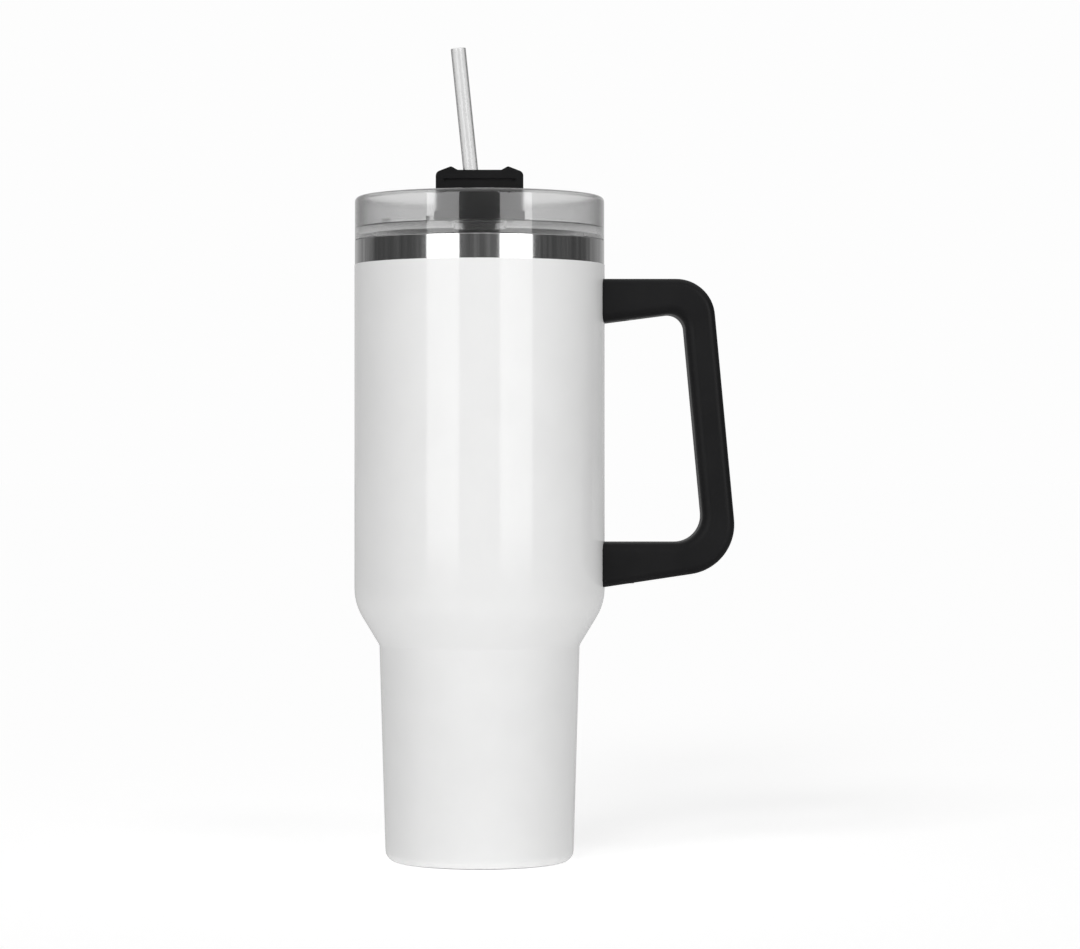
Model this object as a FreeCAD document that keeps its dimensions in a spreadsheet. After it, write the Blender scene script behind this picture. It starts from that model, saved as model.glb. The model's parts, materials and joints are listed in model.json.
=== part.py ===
"""Insulated tumbler with handle, clear lid, turning cover and straw.

Frame: origin on the tumbler's axis at the level it stands on, +Z up, the handle towards +X and the
drinking side towards -Y.  All lengths are millimetres and all angles degrees.
"""
import FreeCAD, Part
import os
import re

import Sketcher
from FreeCAD import Placement, Rotation, Vector

DIMENSIONS = {
    # Double-walled cup: the coated surface, from the rim down to the foot
    "body_radius": 50.0,
    "shoulder_height": 102.7,
    "shoulder_round": 22.0,
    "waist_radius": 40.0,
    "waist_height": 86.2,
    "waist_round": 2.8,
    "foot_radius": 37.5,
    "foot_round": 4.5,
    "rim_height": 247.6,
    "rim_round": 0.35,
    "coat_thickness": 0.15,
    "coat_top": 238.0,
    "coat_bottom": 0.3,
    "shell_thickness": 0.6,
    "hem_radius": 31.0,
    "hem_height": 2.6,
    # Inner liner, held off the shell by the vacuum gap
    "vacuum_gap": 4.2,
    "liner_thickness": 0.5,
    "liner_floor": 9.5,
    "liner_foot_round": 8.0,
    "flare_low": 240.5,
    "flare_high": 244.5,
    # Pieces that close the bottom
    "bottom_level": 4.4,
    "bottom_thickness": 0.8,
    "port_radius": 1.2,
    "port_clearance": 0.05,
    "plug_radius": 3.0,
    "plug_depth": 1.0,
    "getter_length": 9.0,
    "getter_width": 6.0,
    "getter_thickness": 1.6,
    "getter_reach": 14.0,
    "cap_level": 1.2,
    "cap_thickness": 0.8,
    "cap_step_radius": 14.0,
    "cap_step": 0.4,
    # Handle: outer and inner corners of the D, and the ends of its arms inside the body
    "handle_width": 22.0,
    "handle_outer_edge_round": 3.0,
    "handle_inner_edge_round": 4.0,
    "arm_root": 45.0,
    "handle_top": 232.1,
    "upper_arm_underside": 214.2,
    "lower_arm_top": 127.4,
    "lower_arm_underside": 108.8,
    "outer_top_reach": 92.3,
    "outer_low_reach": 103.0,
    "outer_low_height": 117.5,
    "inner_top_reach": 81.1,
    "inner_top_height": 218.9,
    "inner_low_reach": 89.6,
    "outer_top_round": 15.5,
    "outer_low_round": 20.0,
    "inner_top_round": 6.5,
    "inner_low_round": 10.5,
    "cavity_end": 67.0,
    "cavity_width": 16.0,
    "upper_cavity_floor": 219.0,
    "upper_cavity_roof": 229.8,
    "lower_cavity_floor": 113.6,
    "lower_cavity_roof": 124.4,
    "channel_top": 206.0,
    "channel_bottom": 144.0,
    "channel_depth": 10.0,
    "channel_width": 12.0,
    "strip_lap": 3.0,
    "strip_thickness": 2.0,
    "strip_width": 14.0,
    "strip_rib_depth": 5.0,
    "strip_rib_width": 2.0,
    # Brackets welded to the shell, and the screws that hold the handle's arms on them
    "bracket_width": 15.6,
    "bracket_height": 10.4,
    "bracket_thickness": 1.35,
    "lug_width": 11.0,
    "lug_height": 9.0,
    "lug_end": 65.0,
    "screw_reach": 59.0,
    "screw_radius": 1.5,
    "screw_length": 8.5,
    "screw_head_radius": 2.75,
    "screw_head_height": 1.6,
    "screw_socket_radius": 1.1,
    "screw_socket_depth": 1.0,
    "screw_seat_depth": 1.2,
    "screw_clearance": 0.15,
    "thread_clearance": 0.05,
    # Clear lid
    "lid_radius": 49.8,
    "lid_base": 247.7,
    "lid_top": 265.1,
    "lid_top_round": 2.0,
    "lid_wall": 2.5,
    "lid_floor_top": 252.5,
    "lid_floor_thickness": 2.5,
    "lid_edge_round": 0.6,
    "skirt_radius": 44.6,
    "skirt_inner_radius": 41.5,
    "skirt_bottom": 234.0,
    "gasket_groove_radius": 43.0,
    "gasket_low": 236.5,
    "gasket_high": 239.5,
    "gasket_clearance": 0.1,
    "gasket_core_radius": 44.4,
    "gasket_fin_radius": 45.2,
    "gasket_fin": 0.4,
    "boss_radius": 11.0,
    "boss_bottom": 247.0,
    "sip_length": 20.0,
    "sip_near": 31.5,
    "sip_far": 40.0,
    "sip_round": 4.0,
    "vent_radius": 1.5,
    "vent_reach": 33.0,
    "stop_radius": 1.5,
    "stop_offset": 19.05,
    "stop_reach": 36.3,
    "stop_height": 2.5,
    # Turning cover: a bar inside the lid with a tall grip, on a hub through the lid's floor
    "cover_width": 34.8,
    "cover_end_radius": 45.0,
    "arm_bottom": 252.8,
    "arm_thickness": 3.8,
    "grip_depth": 20.0,
    "grip_side_height": 274.4,
    "grip_side_round": 2.2,
    "grip_edge_round": 1.2,
    "horn_height": 276.75,
    "horn_reach": 11.3,
    "valley_height": 275.3,
    "valley_reach": 8.7,
    "slot_bottom": 270.6,
    "slot_height": 1.3,
    "slot_length": 28.4,
    "slot_depth": 1.5,
    "hub_radius": 8.0,
    "hub_clearance": 0.15,
    "hub_neck_radius": 7.0,
    "hub_bottom": 240.0,
    "hub_shoulder": 246.9,
    "bore_low_radius": 3.6,
    "bore_top_radius": 7.25,
    "bore_top": 278.5,
    "o_ring_height": 249.75,
    "o_ring_radius": 7.35,
    "o_ring_section": 0.75,
    "retainer_radius": 12.0,
    "retainer_thickness": 2.0,
    "seal_thickness": 1.6,
    "seal_proud": 0.2,
    "sip_seal_length": 24.0,
    "sip_seal_near": 29.5,
    "sip_seal_far": 42.0,
    "vent_seal_radius": 4.0,
    # Straw, and the grommet where it crosses the cover's axis
    "grommet_radius": 5.5,
    "grommet_hole_radius": 3.3,
    "grommet_top": 243.2,
    "grommet_flange": 0.8,
    "straw_radius": 3.0,
    "straw_bore_radius": 2.5,
    "straw_length": 313.75,
    "straw_foot_reach": 23.5,
    "straw_foot_height": 12.5,
    "straw_lean": 5.86,
}

SHEET_NAME = "dims"
DIMENSION_NAME = re.compile(r"\b(" + "|".join(DIMENSIONS) + r")\b")
PROBE = 0.01       # how near an edge passes to the corner that it is picked by
BEYOND = 10.0      # how far a cutting outline runs past the solid

# Angles of the body's sloping shoulder and of its tapered foot, from the vertical
SLOPE = "atan((body_radius - waist_radius) / (shoulder_height - waist_height))"
TAPER = "atan((waist_radius - foot_radius) / waist_height)"

UPPER_FLOOR = "upper_cavity_floor"
LOWER_FLOOR = "lower_cavity_floor"


# ---------------------------------------------------------------- the sheet and the sketches

def bound(expression):
    """Put the sheet's name before each dimension in an expression."""
    return DIMENSION_NAME.sub(SHEET_NAME + r".\1", expression)


def make_sheet(doc):
    sheet = doc.addObject("Spreadsheet::Sheet", SHEET_NAME)
    for row, (name, size) in enumerate(DIMENSIONS.items(), 1):
        sheet.set(f"A{row}", name)
        sheet.set(f"B{row}", str(size))
        sheet.setAlias(f"B{row}", name)
    doc.recompute()


def value(thing, expression):
    return float(thing.evalExpression(bound(expression)))


def new_body(doc, label):
    body = doc.addObject("PartDesign::Body", label)
    body.Label = label
    return body


def origin_feature(body, role):
    return next(feature for feature in body.Origin.OriginFeatures if feature.Role == role)


def new_sketch(body, plane, lift="0"):
    """A sketch on one of the body's own origin planes, moved along its normal by lift."""
    sketch = body.newObject("Sketcher::SketchObject", "sketch")
    sketch.AttachmentSupport = [(origin_feature(body, plane), "")]
    sketch.MapMode = "FlatFace"
    sketch.setExpression("AttachmentOffset.Base.z", bound(lift))
    return sketch


def pin(sketch, geometry, point, place):
    """Fix a point of the sketch at a pair of expressions."""
    for kind, expression in zip(("DistanceX", "DistanceY"), place):
        size = value(sketch, expression)
        index = sketch.addConstraint(Sketcher.Constraint(kind, -1, 1, geometry, point, size))
        sketch.setExpression(f"Constraints[{index}]", bound(expression))


def draw_outline(sketch, corners):
    """Draw a closed outline whose corners are pairs of expressions."""
    places = [Vector(value(sketch, x), value(sketch, y)) for x, y in corners]
    first = sketch.GeometryCount
    count = len(corners)
    for i in range(count):
        sketch.addGeometry(Part.LineSegment(places[i], places[(i + 1) % count]), False)
    for i in range(count):
        follower = first + (i + 1) % count
        sketch.addConstraint(Sketcher.Constraint("Coincident", first + i, 2, follower, 1))
    for i, corner in enumerate(corners):
        pin(sketch, first + i, 1, corner)


def draw_circle(sketch, centre, radius):
    place = Vector(value(sketch, centre[0]), value(sketch, centre[1]))
    size = value(sketch, radius)
    geometry = sketch.addGeometry(Part.Circle(place, Vector(0, 0, 1), size), False)
    pin(sketch, geometry, 3, centre)
    index = sketch.addConstraint(Sketcher.Constraint("Radius", geometry, size))
    sketch.setExpression(f"Constraints[{index}]", bound(radius))


def box_corners(left, right, low, high):
    return [(left, low), (right, low), (right, high), (left, high)]


# ---------------------------------------------------------------- the features

def turn(body, corners, kind="PartDesign::Revolution"):
    """Turn an outline of (radius, height) corners about the body's vertical axis."""
    sketch = new_sketch(body, "XZ_Plane")
    draw_outline(sketch, corners)
    return turn_sketch(body, sketch, kind)


def turn_sketch(body, sketch, kind="PartDesign::Revolution"):
    feature = body.newObject(kind, "turned")
    feature.Profile = (sketch, [""])
    feature.ReferenceAxis = (sketch, ["V_Axis"])
    feature.Angle = 360
    body.Document.recompute()
    return feature


def extrude(body, sketch, length, kind="PartDesign::Pad", both_ways=False, flip=False):
    feature = body.newObject(kind, "extruded")
    feature.Profile = (sketch, [""])
    feature.setExpression("Length", bound(length))
    feature.SideType = "Symmetric" if both_ways else "One side"
    feature.Reversed = flip
    body.Document.recompute()
    return feature


def carve(body, sketch, length, both_ways=False, flip=False):
    """Pocket a sketch, and make sure that it takes material away."""
    before = body.Shape.Volume
    feature = extrude(body, sketch, length, "PartDesign::Pocket", both_ways, flip)
    if not body.Shape.Volume < before:
        raise RuntimeError(f"{body.Label}: a pocket cuts nothing")
    return feature


def hollow(body, corners):
    """Turn an outline about the vertical axis and take it away."""
    before = body.Shape.Volume
    feature = turn(body, corners, "PartDesign::Groove")
    if not body.Shape.Volume < before:
        raise RuntimeError(f"{body.Label}: a groove cuts nothing")
    return feature


def round_edges(body, chosen, radius):
    """Fillet the edges of the body's shape for which chosen(edge) is true."""
    base = body.Tip
    names = [f"Edge{i}" for i, edge in enumerate(base.Shape.Edges, 1) if chosen(edge)]
    if not names:
        raise RuntimeError(f"{body.Label}: no edge to round")
    feature = body.newObject("PartDesign::Fillet", "rounded")
    feature.Base = (base, names)
    feature.setExpression("Radius", bound(radius))
    body.Document.recompute()


def passes(point):
    vertex = Part.Vertex(point)
    return lambda edge: edge.distToShape(vertex)[0] < PROBE


def round_ring(body, corner, radius):
    """Fillet the circle that a turned corner leaves; it is met a quarter turn from the seam."""
    body_value = [value(body, expression) for expression in corner]
    round_edges(body, passes(Vector(0, body_value[0], body_value[1])), radius)


def round_across(body, corner, radius):
    """Fillet the edge along Y that an extruded (x, z) corner leaves."""
    place = [value(body, expression) for expression in corner]
    round_edges(body, passes(Vector(place[0], 1, place[1])), radius)


def round_uprights(body, corners, height, radius):
    """Fillet the upright edges at these (x, y) corners, at a height that they all cross."""
    level = value(body, height)
    tests = [passes(Vector(value(body, x), value(body, y), level)) for x, y in corners]
    round_edges(body, lambda edge: any(test(edge) for test in tests), radius)


# ---------------------------------------------------------------- the double-walled cup

def skin(depth, level):
    """Shoulder, waist and foot corners at a depth under the coated surface, foot at a level."""
    half_sum = f"(({SLOPE} + {TAPER}) / 2)"
    spread = f"cos(({SLOPE} - {TAPER}) / 2)"
    shoulder = (f"body_radius - ({depth})",
                f"shoulder_height + ({depth}) * tan({SLOPE} / 2)")
    waist = (f"waist_radius - ({depth}) * cos{half_sum} / {spread}",
             f"waist_height + ({depth}) * sin{half_sum} / {spread}")
    foot = (f"foot_radius + ({level}) * tan({TAPER}) - ({depth}) / cos({TAPER})", level)
    return [shoulder, waist, foot]


def round_skin(body, corners, depth):
    """Round a skin's shoulder and waist as walls that follow each other do."""
    round_ring(body, corners[0], f"shoulder_round - ({depth})")
    round_ring(body, corners[1], f"waist_round + ({depth})")


def make_outer_shell(doc):
    """Steel shell: its wall turns in at the foot, which it stands on, and up into a hem."""
    body = new_body(doc, "outer_shell")
    outside = "coat_thickness"
    inside = "coat_thickness + shell_thickness"
    outer = skin(outside, "0")
    inner = skin(inside, "shell_thickness")
    hem_inside = "hem_radius + shell_thickness"
    rim = (f"body_radius - {outside}", "rim_height")
    turn(body, [rim, *outer, ("hem_radius", "0"), ("hem_radius", "hem_height"),
                (hem_inside, "hem_height"), (hem_inside, "shell_thickness"),
                *reversed(inner), (f"body_radius - ({inside})", "rim_height")])
    round_skin(body, outer, outside)
    round_skin(body, inner, inside)
    round_ring(body, outer[2], f"foot_round - {outside}")
    round_ring(body, inner[2], f"foot_round - ({inside})")
    round_ring(body, rim, "rim_round")


def make_body_coating(doc):
    """Coloured powder coat on the shell, left off the bare rim and where the brackets are."""
    body = new_body(doc, "body_coating")
    outer = skin("0", "0 - coat_thickness")
    inner = skin("coat_thickness", "0")
    turn(body, [("body_radius", "coat_top"), *outer, ("hem_radius", "0 - coat_thickness"),
                ("hem_radius", "0"), *reversed(inner),
                ("body_radius - coat_thickness", "coat_top")])
    round_skin(body, outer, "0")
    round_skin(body, inner, "coat_thickness")
    round_ring(body, outer[2], "foot_round")
    round_ring(body, inner[2], "foot_round - coat_thickness")
    hollow(body, box_corners(f"hem_radius - {BEYOND}", f"foot_radius + {BEYOND}",
                             f"0 - {BEYOND}", "coat_bottom"))
    windows = new_sketch(body, "YZ_Plane")
    for floor in (UPPER_FLOOR, LOWER_FLOOR):
        draw_outline(windows, bracket_foot(floor))
    carve(body, windows, f"body_radius + {BEYOND}", flip=True)


def make_inner_liner(doc):
    """Steel liner: it flares out under the rim to meet the shell, where the two are welded."""
    body = new_body(doc, "inner_liner")
    inside = "vacuum_gap + liner_thickness"
    shell_inside = "body_radius - coat_thickness - shell_thickness"
    outer = skin("vacuum_gap", "liner_floor")
    inner = skin(inside, "liner_floor + liner_thickness")
    lip = (f"{shell_inside} - liner_thickness", "rim_height")
    turn(body, [(shell_inside, "rim_height"), (shell_inside, "flare_high"),
                ("body_radius - vacuum_gap", "flare_low"), *outer, ("0", "liner_floor"),
                ("0", "liner_floor + liner_thickness"), *reversed(inner),
                (f"body_radius - ({inside})", "flare_low"), (lip[0], "flare_high"), lip])
    round_skin(body, outer, "vacuum_gap")
    round_skin(body, inner, inside)
    round_ring(body, outer[2], "liner_foot_round + liner_thickness")
    round_ring(body, inner[2], "liner_foot_round")
    round_ring(body, lip, "rim_round")


def make_outer_bottom(doc):
    """Disc welded into the foot of the shell, with the port that the air is drawn through."""
    body = new_body(doc, "outer_bottom")
    edge = skin("coat_thickness + shell_thickness", "bottom_level")[2][0]
    turn(body, box_corners("port_radius", edge, "bottom_level",
                           "bottom_level + bottom_thickness"))


def make_vacuum_port_seal(doc):
    """Glass plug melted into the port."""
    body = new_body(doc, "vacuum_port_seal")
    stem = "port_radius - port_clearance"
    low = "bottom_level - plug_depth"
    high = "bottom_level + bottom_thickness"
    turn(body, [("0", low), ("plug_radius", low), ("plug_radius", "bottom_level"),
                (stem, "bottom_level"), (stem, high), ("0", high)])


def make_getter(doc):
    """Block on the welded disc that takes up the last gas in the vacuum."""
    getter = doc.addObject("Part::Box", "getter")
    getter.Label = "getter"
    getter.setExpression("Length", bound("getter_length"))
    getter.setExpression("Width", bound("getter_width"))
    getter.setExpression("Height", bound("getter_thickness"))
    getter.setExpression("Placement.Base.x", bound("getter_reach - getter_length / 2"))
    getter.setExpression("Placement.Base.y", bound("0 - getter_width / 2"))
    getter.setExpression("Placement.Base.z", bound("bottom_level + bottom_thickness"))


def make_base_cap(doc):
    """Pressed disc that covers the underside inside the hem, its middle stepped up."""
    body = new_body(doc, "base_cap")
    slant = "cap_step_radius + cap_step"
    step_low = "cap_level + cap_step"
    cap_top = "cap_level + cap_thickness"
    turn(body, [("0", step_low), ("cap_step_radius", step_low), (slant, "cap_level"),
                ("hem_radius", "cap_level"), ("hem_radius", cap_top), (slant, cap_top),
                ("cap_step_radius", f"{cap_top} + cap_step"), ("0", f"{cap_top} + cap_step")])


# ---------------------------------------------------------------- the handle

def bracket_foot(floor):
    """Outline, seen along X, of the foot that stands on an arm's cavity floor."""
    half = "bracket_width / 2"
    return box_corners(f"0 - {half}", half, floor, f"{floor} + bracket_height")


def make_handle_bracket(doc, label, floor):
    """Foot welded to the shell's curve, with a lug that the screw threads up into."""
    body = new_body(doc, label)
    shell = "body_radius - coat_thickness"
    foot = new_sketch(body, "YZ_Plane", f"{shell} + bracket_thickness")
    draw_outline(foot, bracket_foot(floor))
    extrude(body, foot, f"{BEYOND}", flip=True)
    lug = new_sketch(body, "XZ_Plane")
    draw_outline(lug, box_corners(f"{shell} - 1", "lug_end", floor, f"{floor} + lug_height"))
    extrude(body, lug, "lug_width", both_ways=True)
    hollow(body, box_corners("0", shell, f"{floor} - {BEYOND}",
                             f"{floor} + bracket_height + {BEYOND}"))
    thread = new_sketch(body, "XY_Plane", f"{floor} + screw_length - screw_seat_depth + 0.5")
    draw_circle(thread, ("screw_reach", "0"), "screw_radius + thread_clearance")
    carve(body, thread, "screw_length + 2")


def inner_face(height):
    """How far out the grip's inner face stands at a height."""
    lean = "(inner_low_reach - inner_top_reach) / (inner_top_height - lower_arm_top)"
    return f"inner_top_reach + (inner_top_height - ({height})) * {lean}"


def grip_band(low, high, near, far):
    """Outline in the grip between two heights and two depths behind its inner face."""
    return [(f"{inner_face(low)} + {near}", low), (f"{inner_face(low)} + {far}", low),
            (f"{inner_face(high)} + {far}", high), (f"{inner_face(high)} + {near}", high)]


STRIP_LOW = "channel_bottom - strip_lap"
STRIP_HIGH = "channel_top + strip_lap"


def side_edges(body, along_opening):
    """Picks the side edges that run round the hand opening, or all the others."""
    side = value(body, "handle_width / 2")
    reach = value(body, "inner_low_reach")
    low = value(body, "lower_arm_top")
    high = value(body, "inner_top_height")

    def chosen(edge):
        box = edge.BoundBox
        flat = box.YLength < PROBE and abs(abs(box.Center.y) - side) < PROBE
        at_root = box.XLength < PROBE
        inside = box.XMax < reach + PROBE and box.ZMin > low - PROBE and box.ZMax < high + PROBE
        return flat and not at_root and inside == along_opening

    return chosen


def carve_grip(body, outline, width):
    sketch = new_sketch(body, "XZ_Plane")
    draw_outline(sketch, outline)
    carve(body, sketch, width, both_ways=True)


def make_handle_frame(doc):
    """Moulded D with hollow arms and a channel in its grip."""
    body = new_body(doc, "handle_frame")
    outer_top = ("outer_top_reach", "handle_top")
    outer_low = ("outer_low_reach", "outer_low_height")
    inner_low = ("inner_low_reach", "lower_arm_top")
    inner_top = ("inner_top_reach", "inner_top_height")
    band = new_sketch(body, "XZ_Plane")
    draw_outline(band, [("arm_root", "handle_top"), outer_top, outer_low,
                        ("arm_root", "lower_arm_underside"), ("arm_root", "lower_arm_top"),
                        inner_low, inner_top, ("arm_root", "upper_arm_underside")])
    extrude(body, band, "handle_width", both_ways=True)
    round_across(body, outer_top, "outer_top_round")
    round_across(body, outer_low, "outer_low_round")
    round_across(body, inner_top, "inner_top_round")
    round_across(body, inner_low, "inner_low_round")
    round_edges(body, side_edges(body, along_opening=True), "handle_inner_edge_round")
    round_edges(body, side_edges(body, along_opening=False), "handle_outer_edge_round")
    hollow(body, box_corners("0", "body_radius", f"lower_arm_underside - {BEYOND}",
                             f"handle_top + {BEYOND}"))
    for floor, roof in ((UPPER_FLOOR, "upper_cavity_roof"), (LOWER_FLOOR, "lower_cavity_roof")):
        carve_grip(body, box_corners("arm_root - 1", "cavity_end", floor, roof), "cavity_width")
        carve_screw_hole(body, floor, "0", "screw_radius + screw_clearance")
        carve_screw_hole(body, floor, "screw_seat_depth",
                         "screw_head_radius + 2 * screw_clearance")
    carve_grip(body, grip_band("channel_bottom", "channel_top", "0 - 1", "channel_depth"),
               "channel_width")
    carve_grip(body, grip_band(STRIP_LOW, STRIP_HIGH, "0 - 1", "strip_thickness"), "strip_width")


def carve_screw_hole(body, floor, drop, radius):
    """Hole down through an arm's lower wall, from a drop below the cavity's floor."""
    sketch = new_sketch(body, "XY_Plane", f"{floor} - {drop}")
    draw_circle(sketch, ("screw_reach", "0"), radius)
    carve(body, sketch, f"{BEYOND}")


def make_handle_inner_cover(doc):
    """Strip that closes the grip's channel, stiffened by a rib."""
    body = new_body(doc, "handle_inner_cover")
    strip = new_sketch(body, "XZ_Plane")
    draw_outline(strip, grip_band(STRIP_LOW, STRIP_HIGH, "0", "strip_thickness"))
    extrude(body, strip, "strip_width", both_ways=True)
    rib = new_sketch(body, "XZ_Plane")
    draw_outline(rib, grip_band("channel_bottom + strip_lap", "channel_top - strip_lap",
                                "strip_thickness / 2", "strip_thickness + strip_rib_depth"))
    extrude(body, rib, "strip_rib_width", both_ways=True)


def make_handle_screws(doc):
    """One screw under each arm, both in one node as separate solids."""
    body = new_body(doc, "handle_screws")
    body.AllowCompound = True
    seat = f"{LOWER_FLOOR} - screw_seat_depth"
    head = f"{seat} - screw_head_height"
    tip = f"{seat} + screw_length"
    socket = f"{head} + screw_socket_depth"
    sketch = new_sketch(body, "XZ_Plane")
    sketch.setExpression("AttachmentOffset.Base.x", bound("screw_reach"))
    draw_outline(sketch, [("0", socket), ("screw_socket_radius", socket),
                          ("screw_socket_radius", head), ("screw_head_radius", head),
                          ("screw_head_radius", seat), ("screw_radius", seat),
                          ("screw_radius", tip), ("0", tip)])
    screw = turn_sketch(body, sketch)
    pattern = body.newObject("PartDesign::LinearPattern", "screws")
    pattern.Originals = [screw]
    pattern.Direction = (origin_feature(body, "Z_Axis"), [""])
    pattern.setExpression("Length", bound(f"{UPPER_FLOOR} - {LOWER_FLOOR}"))
    pattern.Occurrences = 2
    body.Tip = pattern


# ---------------------------------------------------------------- the lid

def sip_corners(length, near, far):
    half = f"{length} / 2"
    return box_corners(f"0 - {half}", half, f"0 - {far}", f"0 - {near}")


def make_lid_body(doc):
    """Clear lid: ring wall, recessed floor with a boss for the hub, and a plug skirt."""
    body = new_body(doc, "lid_body")
    floor_bottom = "lid_floor_top - lid_floor_thickness"
    hub_hole = "hub_radius + hub_clearance"
    outer_edge = ("lid_radius", "lid_top")
    inner_edge = ("lid_radius - lid_wall", "lid_top")
    recess_corner = ("lid_radius - lid_wall", "lid_floor_top")
    skirt_ends = [("skirt_inner_radius", "skirt_bottom"), ("skirt_radius", "skirt_bottom")]
    turn(body, [("lid_radius", "lid_base"), outer_edge, inner_edge, recess_corner,
                (hub_hole, "lid_floor_top"), (hub_hole, "boss_bottom"),
                ("boss_radius", "boss_bottom"), ("boss_radius", floor_bottom),
                ("skirt_inner_radius", floor_bottom), *skirt_ends,
                ("skirt_radius", "gasket_low"), ("gasket_groove_radius", "gasket_low"),
                ("gasket_groove_radius", "gasket_high"), ("skirt_radius", "gasket_high"),
                ("skirt_radius", "lid_base")])
    round_ring(body, outer_edge, "lid_top_round")
    for corner in (inner_edge, recess_corner, *skirt_ends):
        round_ring(body, corner, "lid_edge_round")
    stops = new_sketch(body, "XY_Plane", "lid_floor_top - 0.5")
    draw_circle(stops, ("stop_reach", "stop_offset"), "stop_radius")
    draw_circle(stops, ("stop_offset", "stop_reach"), "stop_radius")
    pegs = extrude(body, stops, "stop_height + 0.5")
    pattern = body.newObject("PartDesign::PolarPattern", "opposite_stops")
    pattern.Originals = [pegs]
    pattern.Axis = (origin_feature(body, "Z_Axis"), [""])
    pattern.Angle = 360
    pattern.Occurrences = 2
    body.Tip = pattern
    doc.recompute()
    openings = new_sketch(body, "XY_Plane", "lid_floor_top")
    corners = sip_corners("sip_length", "sip_near", "sip_far")
    draw_outline(openings, corners)
    draw_circle(openings, ("0", "vent_reach"), "vent_radius")
    carve(body, openings, "lid_floor_thickness + 1")
    round_uprights(body, corners, f"{floor_bottom} + 1", "sip_round")


def make_lid_gasket(doc):
    """Silicone ring with two fins, in the groove of the skirt."""
    body = new_body(doc, "lid_gasket")
    low = "gasket_low + gasket_clearance"
    high = "gasket_high - gasket_clearance"
    middle = "(gasket_low + gasket_high) / 2"
    core = "gasket_core_radius"
    tip = "gasket_fin_radius"
    turn(body, [("gasket_groove_radius", low), (core, low), (tip, f"{low} + gasket_fin"),
                (tip, f"{low} + 2 * gasket_fin"), (core, f"{middle} - gasket_fin / 2"),
                (core, f"{middle} + gasket_fin / 2"), (tip, f"{high} - 2 * gasket_fin"),
                (tip, f"{high} - gasket_fin"), (core, high), ("gasket_groove_radius", high)])


# ---------------------------------------------------------------- the turning cover

def grip_profile():
    """Front outline of the cover's grip: a shallow valley between two horns."""
    side = "cover_width / 2"
    right = [(side, "arm_bottom"), (side, "grip_side_height"), ("horn_reach", "horn_height"),
             ("valley_reach", "valley_height")]
    left = [(f"0 - {across}", height) for across, height in reversed(right)]
    return right + left


def make_rotating_cover(doc):
    """Bar that closes the openings, its tall grip, and the hub with the straw's funnel."""
    body = new_body(doc, "rotating_cover")
    side = "cover_width / 2"
    bar = new_sketch(body, "XY_Plane", "arm_bottom")
    draw_outline(bar, box_corners(f"0 - {side}", side, "0 - cover_end_radius",
                                  "cover_end_radius"))
    extrude(body, bar, "arm_thickness")
    hollow(body, box_corners("cover_end_radius", f"cover_end_radius + {BEYOND}",
                             f"arm_bottom - {BEYOND}", f"arm_bottom + {BEYOND}"))
    grip = new_sketch(body, "XZ_Plane")
    profile = grip_profile()
    draw_outline(grip, profile)
    extrude(body, grip, "grip_depth", both_ways=True)
    for corner, radius in ((profile[1], "grip_side_round"), (profile[2], "grip_edge_round"),
                           (profile[-2], "grip_side_round"), (profile[-3], "grip_edge_round")):
        round_across(body, corner, radius)
    groove_half = "(o_ring_section + thread_clearance)"
    groove_floor = "o_ring_radius - o_ring_section"
    turn(body, [("0", "arm_bottom + 1"), ("hub_radius", "arm_bottom + 1"),
                ("hub_radius", f"o_ring_height + {groove_half}"),
                (groove_floor, f"o_ring_height + {groove_half}"),
                (groove_floor, f"o_ring_height - {groove_half}"),
                ("hub_radius", f"o_ring_height - {groove_half}"),
                ("hub_radius", "hub_shoulder"), ("hub_neck_radius", "hub_shoulder"),
                ("hub_neck_radius", "hub_bottom"), ("0", "hub_bottom")])
    hollow(body, [("0", "hub_bottom - 1"), ("grommet_radius", "hub_bottom - 1"),
                  ("grommet_radius", "grommet_top"), ("bore_low_radius", "grommet_top"),
                  ("bore_top_radius", "bore_top"), ("0", "bore_top")])
    carve_finger_slots(body)
    carve_seal_pockets(body)


def carve_finger_slots(body):
    """Slot under the top edge of the grip's front and back faces."""
    half = "slot_length / 2"
    inward = "grip_depth / 2 - slot_depth"
    for lift, flip in ((inward, True), (f"0 - ({inward})", False)):
        sketch = new_sketch(body, "XZ_Plane", lift)
        draw_outline(sketch, box_corners(f"0 - {half}", half, "slot_bottom",
                                         "slot_bottom + slot_height"))
        carve(body, sketch, f"{BEYOND}", flip=flip)


def carve_seal_pockets(body):
    """Pockets under the bar that hold the seals of the sip opening and the vent."""
    pockets = new_sketch(body, "XY_Plane", "arm_bottom - seal_proud + seal_thickness")
    corners = sip_corners("sip_seal_length", "sip_seal_near", "sip_seal_far")
    draw_outline(pockets, corners)
    draw_circle(pockets, ("0", "vent_reach"), "vent_seal_radius")
    carve(body, pockets, "seal_thickness")
    round_uprights(body, corners, "arm_bottom + seal_thickness / 2", "sip_round")


def make_cover_retainer(doc):
    """Ring pressed on the hub's neck, under the lid's boss."""
    body = new_body(doc, "cover_retainer")
    turn(body, box_corners("hub_neck_radius", "retainer_radius",
                           "hub_shoulder - retainer_thickness", "hub_shoulder"))


def make_cover_o_ring(doc):
    body = new_body(doc, "cover_o_ring")
    sketch = new_sketch(body, "XZ_Plane")
    draw_circle(sketch, ("o_ring_radius", "o_ring_height"), "o_ring_section")
    turn_sketch(body, sketch)


def make_sip_seal(doc):
    """Silicone pad over the sip opening."""
    body = new_body(doc, "sip_seal")
    sketch = new_sketch(body, "XY_Plane", "arm_bottom - seal_proud")
    corners = sip_corners("sip_seal_length", "sip_seal_near", "sip_seal_far")
    draw_outline(sketch, corners)
    extrude(body, sketch, "seal_thickness")
    round_uprights(body, corners, "arm_bottom", "sip_round")


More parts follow.
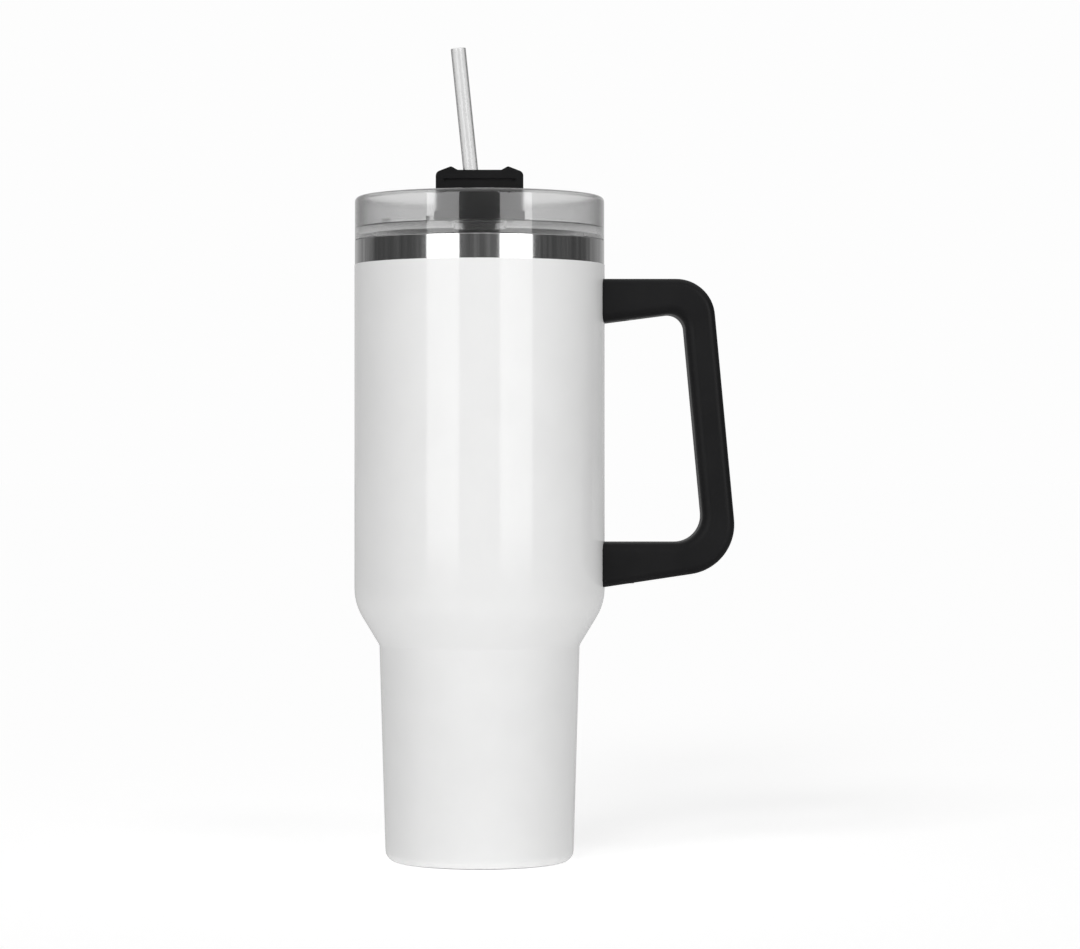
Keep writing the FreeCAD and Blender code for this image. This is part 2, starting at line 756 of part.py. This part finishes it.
def make_vent_seal(doc):
    """Silicone disc over the vent."""
    body = new_body(doc, "vent_seal")
    sketch = new_sketch(body, "XY_Plane", "arm_bottom - seal_proud")
    draw_circle(sketch, ("0", "vent_reach"), "vent_seal_radius")
    extrude(body, sketch, "seal_thickness")


def make_straw_grommet(doc):
    """Silicone sleeve in the hub's lower end, where the leaning straw crosses the axis."""
    body = new_body(doc, "straw_grommet")
    flange = "hub_bottom - grommet_flange"
    turn(body, [("grommet_hole_radius", flange), ("hub_neck_radius", flange),
                ("hub_neck_radius", "hub_bottom"), ("grommet_radius", "hub_bottom"),
                ("grommet_radius", "grommet_top"), ("grommet_hole_radius", "grommet_top")])


def make_straw(doc):
    """Straight tube that leans from the liner's floor to the cover's funnel."""
    body = new_body(doc, "straw")
    sketch = new_sketch(body, "XY_Plane")
    draw_circle(sketch, ("0", "0"), "straw_radius")
    draw_circle(sketch, ("0", "0"), "straw_bore_radius")
    extrude(body, sketch, "straw_length")
    lean = Rotation(Vector(0, 1, 0), -value(body, "straw_lean"))
    body.Placement = Placement(Vector(), lean)
    body.setExpression("Placement.Base.x", bound("straw_foot_reach"))
    body.setExpression("Placement.Base.z", bound("straw_foot_height"))


# ---------------------------------------------------------------- checks and files

def check_document(doc):
    for thing in doc.Objects:
        if "Invalid" in thing.State or "Error" in thing.State:
            raise RuntimeError(f"{thing.Label} failed: {thing.State}")


def sub_parts(doc):
    return [thing for thing in doc.Objects if thing.TypeId in ("PartDesign::Body", "Part::Box")]


def write_parts(doc):
    os.makedirs("parts", exist_ok=True)
    shapes = {part.Label: part.Shape for part in sub_parts(doc)}
    for label, shape in shapes.items():
        if shape.isNull() or not shape.isValid():
            raise RuntimeError(f"{label} has no valid shape")
    for label, shape in shapes.items():
        shape.exportStep(f"parts/{label}.step")
        print(f"{label}: {len(shape.Solids)} solid(s), {shape.Volume:.1f} mm3")


def main():
    doc = FreeCAD.newDocument("tumbler")
    make_sheet(doc)
    make_outer_shell(doc)
    make_body_coating(doc)
    make_inner_liner(doc)
    make_outer_bottom(doc)
    make_vacuum_port_seal(doc)
    make_getter(doc)
    make_base_cap(doc)
    make_handle_bracket(doc, "handle_bracket_upper", UPPER_FLOOR)
    make_handle_bracket(doc, "handle_bracket_lower", LOWER_FLOOR)
    make_handle_frame(doc)
    make_handle_inner_cover(doc)
    make_handle_screws(doc)
    make_lid_body(doc)
    make_lid_gasket(doc)
    make_rotating_cover(doc)
    make_cover_retainer(doc)
    make_cover_o_ring(doc)
    make_sip_seal(doc)
    make_vent_seal(doc)
    make_straw_grommet(doc)
    make_straw(doc)
    doc.recompute()
    check_document(doc)
    write_parts(doc)


main()
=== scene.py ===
"""Looks of the insulated tumbler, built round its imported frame.

Lengths are metres.  The frame stands on z = 0 with its axis on the z axis, the handle towards +X
and the camera on the -Y side.
"""
import json
import math

import bmesh
import bpy
from mathutils import Matrix, Vector


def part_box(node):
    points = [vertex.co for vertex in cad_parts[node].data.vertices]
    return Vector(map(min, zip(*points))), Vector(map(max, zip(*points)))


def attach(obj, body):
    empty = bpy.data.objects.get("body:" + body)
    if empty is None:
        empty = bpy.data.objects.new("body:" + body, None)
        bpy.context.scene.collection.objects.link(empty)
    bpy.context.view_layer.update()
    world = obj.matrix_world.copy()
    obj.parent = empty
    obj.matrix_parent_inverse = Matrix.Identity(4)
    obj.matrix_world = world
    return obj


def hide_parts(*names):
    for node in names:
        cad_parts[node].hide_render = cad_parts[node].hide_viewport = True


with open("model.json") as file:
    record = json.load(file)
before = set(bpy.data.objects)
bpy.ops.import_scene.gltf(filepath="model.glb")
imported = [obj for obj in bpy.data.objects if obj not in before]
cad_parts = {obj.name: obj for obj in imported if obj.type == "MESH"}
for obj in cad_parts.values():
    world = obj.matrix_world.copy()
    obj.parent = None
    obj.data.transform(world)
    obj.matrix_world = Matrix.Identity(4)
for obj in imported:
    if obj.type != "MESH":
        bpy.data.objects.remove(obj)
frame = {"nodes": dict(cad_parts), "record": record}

MM = 0.001
SEGMENTS = 256           # sides of a turned piece
ARC_STEP = math.radians(5)
SMOOTH_ANGLE = math.radians(28)

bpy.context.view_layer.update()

# ---------------------------------------------------------------- sizes: the frame's, or the CAD's

RIM_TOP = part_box("outer_shell")[1].z
COAT_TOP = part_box("body_coating")[1].z
BODY_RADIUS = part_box("body_coating")[1].y
COAT = 0.15 * MM
SHELL_WALL = 0.6 * MM
SHOULDER_HEIGHT = 102.7 * MM
SHOULDER_ROUND = 22.0 * MM
WAIST_RADIUS = 40.0 * MM
WAIST_HEIGHT = 86.2 * MM
WAIST_ROUND = 2.8 * MM
FOOT_RADIUS = 37.5 * MM
FOOT_ROUND = 4.5 * MM
HEM_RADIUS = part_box("base_cap")[1].x
HEM_HEIGHT = 2.6 * MM


# ---------------------------------------------------------------- outlines and meshes

def rounded(corners):
    """Points along a closed outline of (x, z, radius) corners, each rounded by an arc."""
    points = []
    count = len(corners)
    for i, (x, z, radius) in enumerate(corners):
        here = Vector((x, z))
        if radius == 0:
            points.append(here)
            continue
        back = (Vector(corners[i - 1][:2]) - here).normalized()
        ahead = (Vector(corners[(i + 1) % count][:2]) - here).normalized()
        half = back.angle(ahead) / 2
        centre = here + (back + ahead).normalized() * radius / math.sin(half)
        start = here + back * radius / math.tan(half) - centre
        end = here + ahead * radius / math.tan(half) - centre
        steps = max(2, math.ceil(start.angle(end) / ARC_STEP))
        for k in range(steps + 1):
            points.append(centre + start.slerp(end, k / steps) * radius)
    return points


def skin(depth, level):
    """Shoulder, waist and foot corners at a depth under the coated surface."""
    slope = math.atan2(BODY_RADIUS - WAIST_RADIUS, SHOULDER_HEIGHT - WAIST_HEIGHT)
    taper = math.atan2(WAIST_RADIUS - FOOT_RADIUS, WAIST_HEIGHT)
    half_sum = (slope + taper) / 2
    mitre = math.cos((slope - taper) / 2)
    return [
        (BODY_RADIUS - depth, SHOULDER_HEIGHT + depth * math.tan(slope / 2),
         SHOULDER_ROUND - depth),
        (WAIST_RADIUS - depth * math.cos(half_sum) / mitre,
         WAIST_HEIGHT + depth * math.sin(half_sum) / mitre, WAIST_ROUND + depth),
        (FOOT_RADIUS + level * math.tan(taper) - depth / math.cos(taper), level,
         FOOT_ROUND - depth),
    ]


def add_piece(name, mesh, body, replaces=()):
    piece = bpy.data.objects.new(name, mesh)
    bpy.context.scene.collection.objects.link(piece)
    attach(piece, body)
    if replaces:
        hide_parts(*replaces)
    return piece


def smooth(mesh):
    """Smooth shading, but with edges kept where faces meet at more than SMOOTH_ANGLE."""
    mesh.shade_smooth()
    mesh.set_sharp_from_angle(angle=SMOOTH_ANGLE)


def turned_mesh(name, outline, segments=SEGMENTS):
    """Turn a closed outline of (radius, z) points about the z axis."""
    made = bmesh.new()
    rings = []
    for point in outline:
        if point[0] < 1e-7:
            rings.append([made.verts.new((0, 0, point[1]))])
            continue
        turns = (2 * math.pi * k / segments for k in range(segments))
        rings.append([made.verts.new((point[0] * math.cos(a), point[0] * math.sin(a), point[1]))
                      for a in turns])
    for i, ring in enumerate(rings):
        following = rings[(i + 1) % len(rings)]
        for k in range(segments):
            face = [ring[k % len(ring)], ring[(k + 1) % len(ring)],
                    following[(k + 1) % len(following)], following[k % len(following)]]
            face = list(dict.fromkeys(face))
            if len(face) > 2:
                made.faces.new(face)
    bmesh.ops.recalc_face_normals(made, faces=made.faces)
    mesh = bpy.data.meshes.new(name)
    made.to_mesh(mesh)
    made.free()
    smooth(mesh)
    return mesh


# ---------------------------------------------------------------- materials

LID_WALL_START = (252.8 * MM, 253.5 * MM)   # the lid's tone changes between these heights
LID_PLUG_TONE = 0.93


def new_material(name):
    material = bpy.data.materials.new(name)
    material.use_nodes = True
    nodes = material.node_tree.nodes
    return material, material.node_tree, nodes["Principled BSDF"]


def add_node(tree, kind, **settings):
    node = tree.nodes.new(kind)
    for key, setting in settings.items():
        if key in node.inputs:
            node.inputs[key].default_value = setting
        else:
            setattr(node, key, setting)
    return node


def map_range(tree, value, source, target):
    """Map a value from one (low, high) pair to another, held at both ends."""
    node = add_node(tree, "ShaderNodeMapRange")
    for name, level in zip(("From Min", "From Max", "To Min", "To Max"), (*source, *target)):
        node.inputs[name].default_value = level
    tree.links.new(value, node.inputs["Value"])
    return node.outputs["Result"]


def mix_levels(tree, fac, low, high):
    """Mix two grey levels, each a number or a socket."""
    node = add_node(tree, "ShaderNodeMix", data_type="RGBA")
    tree.links.new(fac, node.inputs["Factor"])
    for socket, level in ((node.inputs["A"], low), (node.inputs["B"], high)):
        if isinstance(level, float):
            socket.default_value = (level, level, level, 1)
        else:
            tree.links.new(level, socket)
    return node.outputs["Result"]


def object_noise(tree, scale, detail=2.0, stretch=(1, 1, 1)):
    """Noise in the piece's own coordinates; stretch is how many times finer it is along each."""
    place = add_node(tree, "ShaderNodeTexCoord")
    mapping = add_node(tree, "ShaderNodeMapping", Scale=stretch)
    noise = add_node(tree, "ShaderNodeTexNoise", Scale=scale, Detail=detail)
    tree.links.new(place.outputs["Object"], mapping.inputs["Vector"])
    tree.links.new(mapping.outputs["Vector"], noise.inputs["Vector"])
    return noise.outputs["Fac"]


def spread(tree, fac, low, high):
    """Map a noise's middle range to low..high."""
    return map_range(tree, fac, (0.3, 0.7), (low, high))


def shade(tree, fac, dark, light):
    """Mix two colours by a noise."""
    node = add_node(tree, "ShaderNodeMix", data_type="RGBA")
    node.inputs["A"].default_value = (*dark, 1)
    node.inputs["B"].default_value = (*light, 1)
    ramp = spread(tree, fac, 0, 1)
    tree.links.new(ramp, node.inputs["Factor"])
    return node.outputs["Result"]


def bump(tree, shader, heights, strength, distance):
    node = add_node(tree, "ShaderNodeBump", Strength=strength, Distance=distance)
    tree.links.new(heights, node.inputs["Height"])
    tree.links.new(node.outputs["Normal"], shader.inputs["Normal"])


def ray_kinds(tree):
    """Three flags for a ray: it's seen, it has been inside glass, and it's a reflection.

    Seen means by the camera, or through glass without being reflected on the way.
    """
    path = add_node(tree, "ShaderNodeLightPath")
    straight = add_node(tree, "ShaderNodeMath", operation="LESS_THAN")
    straight.inputs[1].default_value = 0.5
    tree.links.new(path.outputs["Glossy Depth"], straight.inputs[0])
    through = add_node(tree, "ShaderNodeMath", operation="MULTIPLY")
    tree.links.new(path.outputs["Is Transmission Ray"], through.inputs[0])
    tree.links.new(straight.outputs["Value"], through.inputs[1])
    seen = add_node(tree, "ShaderNodeMath", operation="MAXIMUM")
    tree.links.new(path.outputs["Is Camera Ray"], seen.inputs[0])
    tree.links.new(through.outputs["Value"], seen.inputs[1])
    inside = add_node(tree, "ShaderNodeMath", operation="GREATER_THAN")
    inside.inputs[1].default_value = 0.5
    tree.links.new(path.outputs["Transmission Depth"], inside.inputs[0])
    return seen.outputs["Value"], inside.outputs["Value"], path.outputs["Is Glossy Ray"]


def powder_coat():
    """Satin white powder coat: a fine orange peel, a little cloudiness in tone and gloss."""
    material, tree, shader = new_material("powder_coat")
    tone = object_noise(tree, 60, 3)
    peel = object_noise(tree, 1800, 3)
    tree.links.new(shade(tree, tone, (0.875, 0.875, 0.872), (0.895, 0.895, 0.892)),
                   shader.inputs["Base Color"])
    tree.links.new(spread(tree, tone, 0.09, 0.12), shader.inputs["Roughness"])
    shader.inputs["IOR"].default_value = 1.36
    bump(tree, shader, peel, strength=0.08, distance=0.03 * MM)
    return material


def brushed_steel(name="brushed_steel", low=0.08, high=0.12, tone=0.62):
    """Bare stainless: fine turned lines, crossed by faint upright streaks."""
    material, tree, shader = new_material(name)
    lines = object_noise(tree, 400, 4, (0.05, 0.05, 20))
    clouds = object_noise(tree, 420, 4, (1, 1, 0.02))
    tree.links.new(shade(tree, clouds, (tone - 0.2,) * 3, (tone + 0.12,) * 3),
                   shader.inputs["Base Color"])
    tree.links.new(spread(tree, clouds, low, high), shader.inputs["Roughness"])
    shader.inputs["Metallic"].default_value = 1
    bump(tree, shader, lines, strength=0.06, distance=0.02 * MM)
    return material


def black_plastic():
    """Moulded black polypropylene with a fine spark-eroded grain."""
    material, tree, shader = new_material("black_plastic")
    grain = object_noise(tree, 2600, 2)
    wear = object_noise(tree, 45, 3)
    tree.links.new(shade(tree, wear, (0.006, 0.006, 0.0065), (0.009, 0.009, 0.0095)),
                   shader.inputs["Base Color"])
    tree.links.new(spread(tree, wear, 0.42, 0.52), shader.inputs["Roughness"])
    shader.inputs["Specular IOR Level"].default_value = 0.13
    bump(tree, shader, grain, strength=0.12, distance=0.04 * MM)
    return material


def clear_plastic(name, tone, roughness, ior):
    """Clear drawn or moulded plastic, faintly smoky."""
    material, tree, shader = new_material(name)
    waves = object_noise(tree, 90, 1)
    tree.links.new(spread(tree, waves, roughness, roughness + 0.02), shader.inputs["Roughness"])
    tree.links.new(shade(tree, waves, (tone - 0.01,) * 3, (tone + 0.01,) * 3),
                   shader.inputs["Base Color"])
    shader.inputs["IOR"].default_value = ior
    shader.inputs["Transmission Weight"].default_value = 1
    return material


def lid_plastic():
    """The lid's clear plastic: a polished face over a faintly hazy body.

    The thick floor and plug are given a paler tone than the wall, or they would come out too dark.
    """
    material = clear_plastic("clear_plastic", 0.745, 0.19, 1.25)
    tree = material.node_tree
    shader = tree.nodes["Principled BSDF"]
    shader.inputs["Coat Weight"].default_value = 1
    shader.inputs["Coat Roughness"].default_value = 0.03
    shader.inputs["Coat IOR"].default_value = 1.55
    wall = shader.inputs["Base Color"].links[0].from_socket
    place = add_node(tree, "ShaderNodeTexCoord")
    split = add_node(tree, "ShaderNodeSeparateXYZ")
    tree.links.new(place.outputs["Object"], split.inputs["Vector"])
    above = map_range(tree, split.outputs["Z"], LID_WALL_START, (0, 1))
    tree.links.new(mix_levels(tree, above, LID_PLUG_TONE, wall), shader.inputs["Base Color"])
    return material


def straw_plastic():
    """Clear drawn tube, with painted shade that darkens its colour towards its outline."""
    material = clear_plastic("straw_plastic", 0.86, 0.02, 1.42)
    tree = material.node_tree
    shader = tree.nodes["Principled BSDF"]
    middle = shader.inputs["Base Color"].links[0].from_socket
    # Painted shade: the base colour goes darker where the tube's surface turns edge-on.
    edge = add_node(tree, "ShaderNodeLayerWeight", Blend=0.5)
    painted_edge_shade = map_range(tree, edge.outputs["Facing"], (0.25, 0.9), (0, 1))
    tree.links.new(mix_levels(tree, painted_edge_shade, middle, 0.3), shader.inputs["Base Color"])
    return material


def silicone():
    """Translucent grey-white silicone."""
    material, tree, shader = new_material("silicone")
    clouds = object_noise(tree, 200, 2)
    tree.links.new(shade(tree, clouds, (0.66, 0.66, 0.67), (0.76, 0.76, 0.77)),
                   shader.inputs["Base Color"])
    tree.links.new(spread(tree, clouds, 0.45, 0.6), shader.inputs["Roughness"])
    shader.inputs["Subsurface Weight"].default_value = 0.3
    shader.inputs["Subsurface Radius"].default_value = (0.002, 0.002, 0.002)
    return material


def dark_metal(name, tone):
    material, tree, shader = new_material(name)
    grain = object_noise(tree, 900, 3)
    tree.links.new(shade(tree, grain, (tone * 0.7,) * 3, (tone,) * 3),
                   shader.inputs["Base Color"])
    tree.links.new(spread(tree, grain, 0.35, 0.6), shader.inputs["Roughness"])
    shader.inputs["Metallic"].default_value = 1
    bump(tree, shader, grain, strength=0.1, distance=0.03 * MM)
    return material


def port_glass():
    material, tree, shader = new_material("port_glass")
    clouds = object_noise(tree, 300, 2)
    tree.links.new(shade(tree, clouds, (0.10, 0.13, 0.14), (0.16, 0.19, 0.20)),
                   shader.inputs["Base Color"])
    tree.links.new(spread(tree, clouds, 0.1, 0.25), shader.inputs["Roughness"])
    return material


def dress_nodes():
    """Give every CAD node the material of its slot."""
    materials = {
        "steel": brushed_steel(),
        "screw_steel": dark_metal("screw_steel", 0.5),
        "white_coat": powder_coat(),
        "getter_metal": dark_metal("getter_metal", 0.3),
        "port_glass": port_glass(),
        "black_plastic": black_plastic(),
        "clear_plastic": lid_plastic(),
        "straw_plastic": straw_plastic(),
        "silicone": silicone(),
    }
    slots = {part["node"]: part["material_slot"] for part in frame["record"]["subparts"]}
    for name, node in frame["nodes"].items():
        node.data.materials.clear()
        node.data.materials.append(materials[slots[name]])
    liner = frame["nodes"]["inner_liner"].data.materials
    liner.clear()
    liner.append(brushed_steel("liner_steel", 0.3, 0.4, 0.78))
    return materials


# ---------------------------------------------------------------- the cup

def make_coat(materials):
    corners = [(BODY_RADIUS, COAT_TOP, COAT * 0.4), *skin(0, -COAT)]
    outline = rounded([*corners, (HEM_RADIUS, -COAT, 0), (HEM_RADIUS, 0, 0),
                       *reversed(skin(COAT, 0)), (BODY_RADIUS - COAT, COAT_TOP, 0)])
    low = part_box("outer_shell")[0].z + 2 * COAT
    outline = [point for point in outline if point[1] > low]
    piece = add_piece("coat", turned_mesh("coat", outline), "cup",
                      ["body_coating"])
    piece.data.materials.append(materials["white_coat"])


def make_shell(materials):
    inside = COAT + SHELL_WALL
    painted_edge_shade = BODY_RADIUS - COAT
    outline = rounded([(painted_edge_shade, RIM_TOP, 0.35 * MM), *skin(COAT, 0),
                       (HEM_RADIUS, 0, 0.3 * MM), (HEM_RADIUS, HEM_HEIGHT, 0),
                       (HEM_RADIUS + SHELL_WALL, HEM_HEIGHT, 0),
                       (HEM_RADIUS + SHELL_WALL, SHELL_WALL, 0),
                       *reversed(skin(inside, SHELL_WALL)),
                       (BODY_RADIUS - inside, RIM_TOP, 0)])
    piece = add_piece("steel_shell", turned_mesh("steel_shell", outline), "cup",
                      ["outer_shell"])
    piece.data.materials.append(materials["steel"])


# ---------------------------------------------------------------- the straw

STRAW_RADIUS = 3.0 * MM
STRAW_BORE = 2.5 * MM
STRAW_LENGTH = 313.75 * MM
STRAW_FOOT = Vector((23.5 * MM, 0, 12.5 * MM))
STRAW_LEAN = math.radians(-5.86)
STRAW_END_ROUND = 0.2 * MM


def make_straw(materials):
    """Drawn tube with polished ends."""
    outline = rounded([(STRAW_BORE, 0, STRAW_END_ROUND), (STRAW_RADIUS, 0, STRAW_END_ROUND),
                       (STRAW_RADIUS, STRAW_LENGTH, STRAW_END_ROUND),
                       (STRAW_BORE, STRAW_LENGTH, STRAW_END_ROUND)])
    mesh = turned_mesh("clear_straw", outline, 96)
    mesh.transform(Matrix.Translation(STRAW_FOOT) @ Matrix.Rotation(STRAW_LEAN, 4, "Y"))
    piece = add_piece("clear_straw", mesh, "drinking_straw", ["straw"])
    piece.data.materials.append(materials["straw_plastic"])


# ---------------------------------------------------------------- the studio

CAMERA_DISTANCE = 1.40
CAMERA_HEIGHT = 0.1543
CAMERA_SHIFT = 0.056
LENS = 116.7
WHITE = 0.983                # the world, where it's seen
FLOOR_GLOW = 0.695           # the floor, where it's seen
FLOOR_GLOW_DIFFUSE = 0.4
FLOOR_GLOW_GLOSSY = 0.22
DIM = 0.165                  # the world to diffuse light
OVERHEAD = 1.2               # the world overhead, in reflections
INSIDE_GLASS = 0.34          # the world to reflections that have been inside glass
FLOOR_RADIUS = 60.0
STRIP_AZIMUTH = 33.2
STRIP = {"distance": 1.2, "low": 0.06, "high": 0.80, "width": 0.64, "radiance": 3.56}
REAR_FILL = {"distance": 1.4, "low": 0.05, "high": 0.75, "width": 1.6, "radiance": 2.6}
# FLOOR_SUNS gives azimuth, elevation and irradiance; ROOM the world's levels from front to back.
FLOOR_SUNS = {"sun_left": (-13, 22, 0.6), "sun_side": (-30, 38, 0.42), "sun_right": (30, 55, 0.15)}
SUN_SPREAD = math.radians(15)
ROOM = [(0, 0.15), (0.4, 0.09), (0.68, 0.09), (0.8, 0.25), (0.9, 0.34), (1, 0.6)]


def make_camera():
    data = bpy.data.cameras.new("camera")
    data.sensor_width = 36
    data.lens = LENS
    data.shift_x = CAMERA_SHIFT
    camera = bpy.data.objects.new("camera", data)
    camera.location = (0, -CAMERA_DISTANCE, CAMERA_HEIGHT)
    camera.rotation_euler = (math.radians(90), 0, 0)
    bpy.context.scene.collection.objects.link(camera)
    bpy.context.scene.camera = camera


def make_floor():
    bpy.ops.mesh.primitive_circle_add(vertices=64, radius=FLOOR_RADIUS, fill_type="NGON")
    floor = bpy.context.object
    floor.name = "floor"
    material, tree, shader = new_material("floor")
    shader.inputs["Base Color"].default_value = (0.8, 0.8, 0.8, 1)
    shader.inputs["Roughness"].default_value = 0.9
    shader.inputs["Specular IOR Level"].default_value = 0
    seen, _, glossy = ray_kinds(tree)
    unseen = mix_levels(tree, glossy, FLOOR_GLOW_DIFFUSE, FLOOR_GLOW_GLOSSY)
    glow = mix_levels(tree, seen, unseen, FLOOR_GLOW)
    tree.links.new(glow, shader.inputs["Emission Color"])
    shader.inputs["Emission Strength"].default_value = 1
    floor.data.materials.append(material)
    return floor


def link_light(light, floor, state):
    """Let a light reach only the floor (INCLUDE), or everything but the floor (EXCLUDE)."""
    receivers = bpy.data.collections.new(f"{light.name}_receivers")
    receivers.objects.link(floor)
    receivers.collection_objects[0].light_linking.link_state = state
    light.light_linking.receiver_collection = receivers


def area_light(name, azimuth, distance, low, high, width, radiance):
    """Upright rectangular light that faces the axis; azimuth 0 is the camera's side."""
    angle = math.radians(azimuth)
    height = high - low
    data = bpy.data.lights.new(name, "AREA")
    data.shape = "RECTANGLE"
    data.size = width
    data.size_y = height
    data.energy = radiance * math.pi * width * height
    light = bpy.data.objects.new(name, data)
    light.location = (distance * math.sin(angle), -distance * math.cos(angle), (low + high) / 2)
    light.rotation_euler = (math.radians(90), 0, angle)
    light.visible_camera = False
    bpy.context.scene.collection.objects.link(light)
    return light


def floor_sun(name, azimuth, elevation, irradiance):
    """Broad sun for the floor's soft shadow; azimuth 0 is the camera's side."""
    data = bpy.data.lights.new(name, "SUN")
    data.energy = irradiance
    data.angle = SUN_SPREAD
    light = bpy.data.objects.new(name, data)
    light.rotation_euler = (math.radians(90 - elevation), 0, math.radians(azimuth))
    bpy.context.scene.collection.objects.link(light)
    return light


def make_lights(floor):
    for side in (-1, 1):
        name = "strip_left" if side < 0 else "strip_right"
        strip = area_light(name, side * STRIP_AZIMUTH, **STRIP)
        strip.visible_transmission = False
        link_light(strip, floor, "EXCLUDE")
    fill = area_light("rear_fill", 180, **REAR_FILL)
    fill.visible_glossy = False
    fill.visible_transmission = False
    link_light(fill, floor, "EXCLUDE")
    for name, (azimuth, elevation, irradiance) in FLOOR_SUNS.items():
        link_light(floor_sun(name, azimuth, elevation, irradiance), floor, "INCLUDE")


def make_world():
    """White to the camera and through clear plastic; a dim room, lighter behind, to reflections."""
    world = bpy.data.worlds.new("studio")
    world.use_nodes = True
    bpy.context.scene.world = world
    tree = world.node_tree
    background = tree.nodes["Background"]
    seen, inside, glossy = ray_kinds(tree)
    place = add_node(tree, "ShaderNodeTexCoord")
    split = add_node(tree, "ShaderNodeSeparateXYZ")
    tree.links.new(place.outputs["Generated"], split.inputs["Vector"])
    where = map_range(tree, split.outputs["Y"], (-1, 1), (0, 1))
    room = add_node(tree, "ShaderNodeValToRGB")
    for spot, _ in ROOM[1:-1]:
        room.color_ramp.elements.new(spot)
    for element, (spot, level) in zip(room.color_ramp.elements, ROOM):
        element.position = spot
        element.color = (level, level, level, 1)
    tree.links.new(where, room.inputs["Fac"])
    up = map_range(tree, split.outputs["Z"], (0.35, 0.8), (0, 1))
    lit = mix_levels(tree, up, room.outputs["Color"], OVERHEAD)
    lit = mix_levels(tree, inside, lit, INSIDE_GLASS)
    dim = mix_levels(tree, glossy, DIM, lit)
    final = mix_levels(tree, seen, dim, WHITE)
    tree.links.new(final, background.inputs["Color"])


def make_studio():
    make_camera()
    make_lights(make_floor())
    make_world()
    bpy.context.scene.view_settings.view_transform = "Standard"


make_studio()
materials = dress_nodes()
make_coat(materials)
make_shell(materials)
make_straw(materials)
